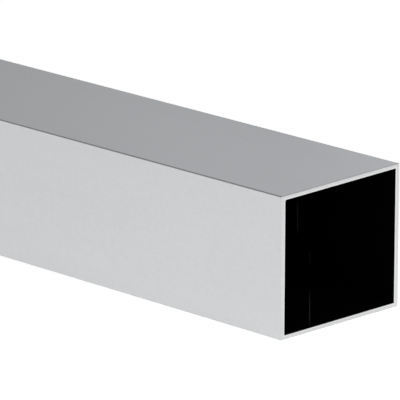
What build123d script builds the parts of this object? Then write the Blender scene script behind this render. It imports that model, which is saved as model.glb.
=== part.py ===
from build123d import *
import os

# Square tube: a cut length of thin-walled extruded aluminium stock, lying on one of its four sides.
# It is a single extrusion. The section is square with nearly sharp outside corners and the same wall
# all round, and both ends are sawn square with the burr just broken.
# Millimetres, +X along the tube and +Z up. The origin is the middle of the side that it lies on.

# Driving dimensions
outside_width = 50.8  # 2 in across the flats, the same both ways
wall_thickness = 1.5875  # 1/16 in
stock_length = 304.8  # 12 in, one of the lengths that cut stock comes in
outside_corner_radius = 0.4  # what the extrusion die leaves of a sharp corner
bore_corner_radius = 0.5
burr_break = 0.12  # 45 degree break on the outside and bore rims of each sawn end


def tube_section():
    """The extruded section, centred on the tube's axis: the outside square less the square bore."""
    bore_width = outside_width - 2 * wall_thickness
    outside = RectangleRounded(outside_width, outside_width, outside_corner_radius)
    bore = RectangleRounded(bore_width, bore_width, bore_corner_radius)
    return outside - bore


def square_tube():
    """The section run out the same way to both sides of the origin, with its sawn rims broken."""
    middle_of_tube = Plane(origin=(0, 0, outside_width / 2), x_dir=(0, 1, 0), z_dir=(1, 0, 0))
    tube = extrude(middle_of_tube * tube_section(), amount=stock_length / 2, both=True)
    sawn_ends = tube.faces().filter_by(Axis.X)
    return chamfer(sawn_ends.edges(), length=burr_break)


os.makedirs("parts", exist_ok=True)
export_step(square_tube(), "parts/square_tube.step")
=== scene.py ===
import math
import bpy
from mathutils import Euler, Matrix, Vector


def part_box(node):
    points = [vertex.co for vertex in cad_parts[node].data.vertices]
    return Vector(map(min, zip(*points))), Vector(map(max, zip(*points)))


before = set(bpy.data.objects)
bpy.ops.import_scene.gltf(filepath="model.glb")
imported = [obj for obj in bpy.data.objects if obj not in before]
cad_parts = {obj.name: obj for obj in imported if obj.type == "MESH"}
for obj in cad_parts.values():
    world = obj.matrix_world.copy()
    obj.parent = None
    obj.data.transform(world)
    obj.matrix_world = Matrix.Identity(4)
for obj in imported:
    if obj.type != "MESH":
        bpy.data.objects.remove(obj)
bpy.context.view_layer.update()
scene = bpy.context.scene
print("frame loaded:", sorted(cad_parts))


# Wraps an output socket, so that maths on it reads as plain expressions and adds its Math nodes.
class Wire:
    def __init__(self, shader, socket):
        self.shader = shader
        self.socket = socket

    def maths(self, operation, *values):
        return self.shader.node("ShaderNodeMath", {"operation": operation}, dict(enumerate(values)))

    def __add__(self, other):
        return self.maths("ADD", self, other)

    def __sub__(self, other):
        return self.maths("SUBTRACT", self, other)

    def __rsub__(self, other):
        return self.maths("SUBTRACT", other, self)

    def __mul__(self, other):
        return self.maths("MULTIPLY", self, other)

    def __lt__(self, other):
        return self.maths("LESS_THAN", self, other)

    def __gt__(self, other):
        return self.maths("GREATER_THAN", self, other)

    def __abs__(self):
        return self.maths("ABSOLUTE", self)

    def larger(self, other):
        return self.maths("MAXIMUM", self, other)

    __radd__ = __add__
    __rmul__ = __mul__


# The node tree of one material, or of the world.
class Shader:
    def __init__(self, owner):
        owner.use_nodes = True
        self.tree = owner.node_tree
        self.tree.nodes.clear()

    # Adds a node: its settings go first, then the values or wires of its sockets. Gives one output.
    def node(self, kind, settings=None, inputs=None, output=0):
        made = self.tree.nodes.new(kind)
        for name, value in (settings or {}).items():
            setattr(made, name, value)
        for name, value in (inputs or {}).items():
            if isinstance(value, Wire):
                self.tree.links.new(value.socket, made.inputs[name])
            else:
                made.inputs[name].default_value = value
        return Wire(self, made.outputs[output]) if len(made.outputs) else None

    # The x, y and z of a vector, as wires of their own.
    def split(self, vector):
        cut = self.node("ShaderNodeSeparateXYZ", inputs={"Vector": vector})
        return [Wire(self, socket) for socket in cut.socket.node.outputs]

    # Runs from one colour to another. The Mix node keeps its colours at inputs 6 and 7 and at output 2.
    def mix(self, share, low, high):
        colours = {"Factor": share, 6: low, 7: high}
        return self.node("ShaderNodeMix", {"data_type": "RGBA"}, colours, output=2)

    def vector(self, operation, inputs, output="Vector"):
        return self.node("ShaderNodeVectorMath", {"operation": operation}, inputs, output)

    # Noise round nought, up to a half either way; fineness is how many specks fit in a metre, each way.
    def noise(self, spot, fineness, detail=2):
        stretched = self.node("ShaderNodeMapping", inputs={"Vector": spot, "Scale": fineness})
        speck = self.node("ShaderNodeTexNoise", inputs={"Vector": stretched, "Scale": 1, "Detail": detail})
        return speck - 0.5

    # Nought below start and one past end, with a soft rise between them.
    def rise(self, value, start, end):
        return self.node("ShaderNodeMapRange", {"interpolation_type": "SMOOTHSTEP"}, {
            "Value": value, "From Min": start, "From Max": end, "To Min": 0, "To Max": 1,
        })


# The long faces: satin metal with a soft grain, slow clouds, the faint lines of the drawing die and a few
# deeper hairlines. Lengths are in metres, and each metal runs between two tones.
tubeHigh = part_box("square_tube")[1]
tube = {
    "halfLength": tubeHigh.x,
    "halfSide": tubeHigh.y,
    "wall": 0.0015875,
    "slack": 0.00002,
    "metal": (0.587, 0.596, 0.602, 1),
    "metalLight": (0.639, 0.648, 0.655, 1),
    "roughness": 0.35,
    "drawnLines": {"fineness": (5, 6500, 6500), "tone": 0.9, "height": 5e-6},
    "grain": {"fineness": (850, 850, 850), "tone": 1.1, "height": 3e-6, "roughness": 0.06},
    "clouds": {"fineness": (16, 55, 55), "tone": 0.5},
    "hairlines": {"fineness": (22, 2600, 2600), "from": 0.2, "to": 0.24, "tone": -0.7, "height": -6e-6},
}
boreReach = tube["halfSide"] - tube["wall"]  # from the tube's middle line to a wall of the bore
halfway = 0.5  # between the two tones of a metal


# The colour and the height of the long faces
def drawnSkin(shader, spot, tone):
    lines = shader.noise(spot, tube["drawnLines"]["fineness"], detail=3)
    deep = shader.noise(spot, tube["hairlines"]["fineness"], detail=1)
    hairlines = shader.rise(deep, tube["hairlines"]["from"], tube["hairlines"]["to"])
    skinTone = tone + lines * tube["drawnLines"]["tone"] + hairlines * tube["hairlines"]["tone"]
    height = lines * tube["drawnLines"]["height"] + hairlines * tube["hairlines"]["height"]
    return shader.mix(skinTone, tube["metal"], tube["metalLight"]), height


# The sawn ends: curved marks of the saw's teeth, and a rim round the bore, smoother where the burr is
# taken off and painted brighter as a highlight
sawnEnds = {
    "metal": (0.602, 0.608, 0.609, 1),
    "metalLight": (0.655, 0.661, 0.662, 1),
    "paintedLightBelow": 0.04,  # share by which the cut is painted lighter towards its bottom, painted light against the shade near the floor
    # painted highlight: the rim's colour, brighter than the cut
    "deburredRimPaintedHighlight": (0.715, 0.721, 0.719, 1),
    "rimWidth": 0.0006,
    "rimFade": 0.00024,  # the outer part of that width, in which the rim fades into the cut
    "roughness": 0.32,
    "bladeCentre": (0.035, 0.190),  # along Y and Z
    "toothMarks": {"fineness": 2400, "tone": 2.2, "height": 30e-6},
}


# The colour and the height of a sawn end, with painted light towards its bottom and a painted highlight on
# its rim, and how much of each point is rim
def sawnCut(shader, spot, tone, reach):
    y, z = shader.split(spot)[1:]
    bladeY, bladeZ = sawnEnds["bladeCentre"]
    onCut = shader.node("ShaderNodeCombineXYZ", inputs={"Y": y, "Z": z})
    fromBlade = shader.vector("DISTANCE", {0: onCut, 1: (0, bladeY, bladeZ)}, "Value")
    teeth = shader.node("ShaderNodeTexNoise", {"noise_dimensions": "1D"}, {
        "W": fromBlade, "Scale": sawnEnds["toothMarks"]["fineness"], "Detail": 2,
    }) - 0.5
    cutTone = tone + teeth * sawnEnds["toothMarks"]["tone"]
    cut = shader.mix(cutTone, sawnEnds["metal"], sawnEnds["metalLight"])
    rimReach = boreReach + sawnEnds["rimWidth"]
    # The rim round the bore: its brightness is a painted highlight, its lower roughness its own
    deburredRimPaintedHighlight = 1 - shader.rise(reach, rimReach - sawnEnds["rimFade"], rimReach)
    below = 1 - z * (1 / (2 * tube["halfSide"]))  # nought at the top of the cut, 1 at its bottom
    # Painted light: the cut's colour is raised towards its bottom, against the shade near the floor
    colour = shader.vector("SCALE", {
        0: shader.mix(deburredRimPaintedHighlight, cut, sawnEnds["deburredRimPaintedHighlight"]), "Scale": 1 + below * sawnEnds["paintedLightBelow"],
    })
    return colour, teeth * sawnEnds["toothMarks"]["height"], deburredRimPaintedHighlight


# The bore's walls: painted near black and matt, a painted shade in place of the bare metal. Hair-thin
# painted reflections, faint light streaks, lie inside the right mouth. Each runs between two ends on one
# wall, given by how far in they lie and then by their height on the back wall, or their place across the
# bottom one.
bore = {
    # painted shade: the near-black colours of the bore's walls
    "paintedShade": (0.0006, 0.0006, 0.0006, 1),
    "paintedShadeLight": (0.0018, 0.0018, 0.0018, 1),
    "roughness": 0.8,
    "lines": (9, 1300, 1300),
    # painted reflection: the colour of the faint light streaks
    "paintedReflectionLight": (0.07, 0.07, 0.07, 1),
    "paintedReflectionStreaks": [
        {
            "wall": "back", "inward": (0.0403, 0.0401), "place": (0.0295, 0.0155),
            "width": 0.0005, "strength": 0.75,
        },
        {
            "wall": "back", "inward": (0.0350, 0.0348), "place": (0.0115, 0.0060),
            "width": 0.0003, "strength": 0.65,
        },
        {
            "wall": "bottom", "inward": (0.029, 0), "place": (0.0176, -0.0129),
            "width": 0.0003, "strength": 0.45,
        },
    ],
}


# How strongly a painted reflection streak shows at a point: most halfway along it, and nought past its
# ends
def paintedReflectionStreak(shader, spot, mark):
    ends = []
    for inward, place in zip(mark["inward"], mark["place"]):
        x = tube["halfLength"] - inward
        onBack = (x, boreReach, place)
        onBottom = (x, place, tube["wall"])
        ends.append(Vector(onBack if mark["wall"] == "back" else onBottom))
    along = ends[1] - ends[0]
    fromEnd = shader.vector("SUBTRACT", {0: spot, 1: ends[0]})
    share = shader.vector("DOT_PRODUCT", {0: fromEnd, 1: along / along.length_squared}, "Value")
    foot = shader.vector("SCALE", {0: along, "Scale": share})
    gap = shader.vector("DISTANCE", {0: fromEnd, 1: foot}, "Value")
    across = 1 - shader.rise(gap, mark["width"] / 4, mark["width"])
    lengthwise = (share * (1 - share)).larger(0) * 4  # 1 halfway along
    return across * lengthwise * mark["strength"]


# Painted shade on the bore's walls, near black, with the painted reflection streaks laid over it
def paintedShadeAndReflections(shader, spot):
    walls = shader.mix(halfway + shader.noise(spot, bore["lines"]), bore["paintedShade"], bore["paintedShadeLight"])
    # painted reflection: faint light streaks over the painted shade
    paintedReflectionLight = sum(paintedReflectionStreak(shader, spot, mark) for mark in bore["paintedReflectionStreaks"])
    return shader.mix(paintedReflectionLight, walls, bore["paintedReflectionLight"])


def finishTube():
    material = bpy.data.materials.new("tubeFinish")
    shader = Shader(material)
    spot = shader.node("ShaderNodeTexCoord", output="Object")
    x, y, z = shader.split(spot)
    reach = abs(y).larger(abs(z - tube["halfSide"]))  # how far the point is from the tube's middle line
    inBore = reach < boreReach + tube["slack"]
    onEnd = abs(x) > tube["halfLength"] - tube["slack"]

    grain = shader.noise(spot, tube["grain"]["fineness"])
    clouds = shader.noise(spot, tube["clouds"]["fineness"])
    tone = halfway + grain * tube["grain"]["tone"] + clouds * tube["clouds"]["tone"]
    skin, skinHeight = drawnSkin(shader, spot, tone)
    cut, cutHeight, deburredRimPaintedHighlight = sawnCut(shader, spot, tone, reach)
    metal = shader.mix(onEnd, skin, cut)
    height = grain * tube["grain"]["height"] + (1 - onEnd) * skinHeight + onEnd * cutHeight
    rimChange = sawnEnds["roughness"] - tube["roughness"]
    roughness = tube["roughness"] + onEnd * deburredRimPaintedHighlight * rimChange + grain * tube["grain"]["roughness"]
    surface = shader.node("ShaderNodeBsdfPrincipled", inputs={
        # inside the bore the colour is painted shade, near black and not metal
        "Base Color": shader.mix(inBore, metal, paintedShadeAndReflections(shader, spot)),
        "Roughness": roughness + inBore * (bore["roughness"] - tube["roughness"]),
        "Metallic": 1 - inBore,
        "Specular IOR Level": 0.0,
        "Normal": shader.node("ShaderNodeBump", inputs={"Strength": 1, "Distance": 1, "Height": height}),
    })
    shader.node("ShaderNodeOutputMaterial", inputs={"Surface": surface})
    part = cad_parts["square_tube"]
    part.data.materials.clear()
    part.data.materials.append(material)
    print("finish on", part.name)


finishTube()

# A plain pale floor, which glows a little and so takes only a faint shadow
floorLook = {"colour": (0.8, 0.8, 0.8, 1), "roughness": 0.9, "glow": 0.62, "size": 60}


def layFloor():
    material = bpy.data.materials.new("paleFloor")
    shader = Shader(material)
    surface = shader.node("ShaderNodeBsdfPrincipled", inputs={
        "Base Color": floorLook["colour"],
        "Roughness": floorLook["roughness"],
        "Emission Color": (1, 1, 1, 1),
        "Emission Strength": floorLook["glow"],
    })
    shader.node("ShaderNodeOutputMaterial", inputs={"Surface": surface})
    bpy.ops.object.select_all(action="DESELECT")
    bpy.ops.mesh.primitive_plane_add(size=floorLook["size"])
    floor = bpy.context.object
    floor.name = "floor"
    floor.data.materials.append(material)
    print("floor laid")


layFloor()

# Soft studio light: a plain dim room, darker overhead, and round lamps that only the metal shows.
# The lamps behind are a little cool, which the top of the tube mirrors.
white = (1, 1, 1)
coolWhite = (0.93, 0.952, 1)
studio = {
    "horizon": 0.42,
    "overhead": 0.1,
    "lampsAimAt": (0.09, 0, 0.02),
    "lamps": {
        "right": {"place": (1.2, 0, 0.8), "size": 1, "watts": 3.4, "colour": white},
        "above": {"place": (0.3, -0.1, 0.6), "size": 0.4, "watts": 0.6, "colour": white},
        "front": {"place": (0.35, -0.35, 0.35), "size": 0.35, "watts": 0.48, "colour": white},
        "high": {"place": (0, 1.5, 1.6), "size": 1.4, "watts": 1.5, "colour": white},
        "behind": {"place": (-0.15, 0.75, 0.35), "size": 0.5, "watts": 0.5, "colour": coolWhite},
        "behindHigh": {"place": (-0.3, 0.6, 0.5), "size": 0.5, "watts": 0.26, "colour": coolWhite},
        "behindLeft": {"place": (-0.6, 0.4, 0.35), "size": 0.5, "watts": 0.12, "colour": coolWhite},
    },
}


def lightStudio():
    world = bpy.data.worlds.new("studio")
    scene.world = world
    shader = Shader(world)
    up = shader.split(shader.node("ShaderNodeTexCoord", output="Generated"))[2]
    glow = studio["horizon"] + up.larger(0) * (studio["overhead"] - studio["horizon"])
    sky = shader.node("ShaderNodeBackground", inputs={"Color": (1, 1, 1, 1), "Strength": glow})
    shader.node("ShaderNodeOutputWorld", inputs={"Surface": sky})
    for name, lamp in studio["lamps"].items():
        place = Vector(lamp["place"])
        aim = (Vector(studio["lampsAimAt"]) - place).to_track_quat("-Z", "Y").to_euler()
        bpy.ops.object.select_all(action="DESELECT")
        bpy.ops.object.light_add(type="AREA", location=place, rotation=aim)
        made = bpy.context.object
        made.name = name
        made.data.shape = "DISK"
        made.data.size = lamp["size"]
        made.data.energy = lamp["watts"]
        made.data.color = lamp["colour"]
        made.visible_camera = False
    print("studio lit by", len(studio["lamps"]), "lamps")


lightStudio()

camera = {
    "standsAt": (1.52237, -1.46463, 0.70944),
    "pictureTurned": (73.342, 7.862, 69.489),  # degrees about X, Y and Z
    "swing": 26.319,  # degrees from the picture plane's own square-on line to the lens's line
    "lens": 564.24,  # millimetres, on a picture 36 wide
    "seesTo": 100,
}


def standCamera():
    swing = math.radians(camera["swing"])
    across, up, square = Euler([math.radians(turn) for turn in camera["pictureTurned"]]).to_matrix().col
    behind = square * math.cos(swing) - across * math.sin(swing)
    leaned = Matrix((across, up, behind)).transposed().to_4x4()
    leaned.translation = camera["standsAt"]
    bpy.ops.object.select_all(action="DESELECT")
    bpy.ops.object.empty_add()
    stand = bpy.context.object
    stand.name = "cameraStand"
    bpy.ops.object.camera_add()
    taker = bpy.context.object
    taker.parent = stand
    taker.matrix_parent_inverse = leaned
    taker.data.lens = camera["lens"]
    taker.data.clip_end = camera["seesTo"]
    scene.camera = taker
    print("camera stands")


standCamera()
scene.view_settings.view_transform = "Standard"
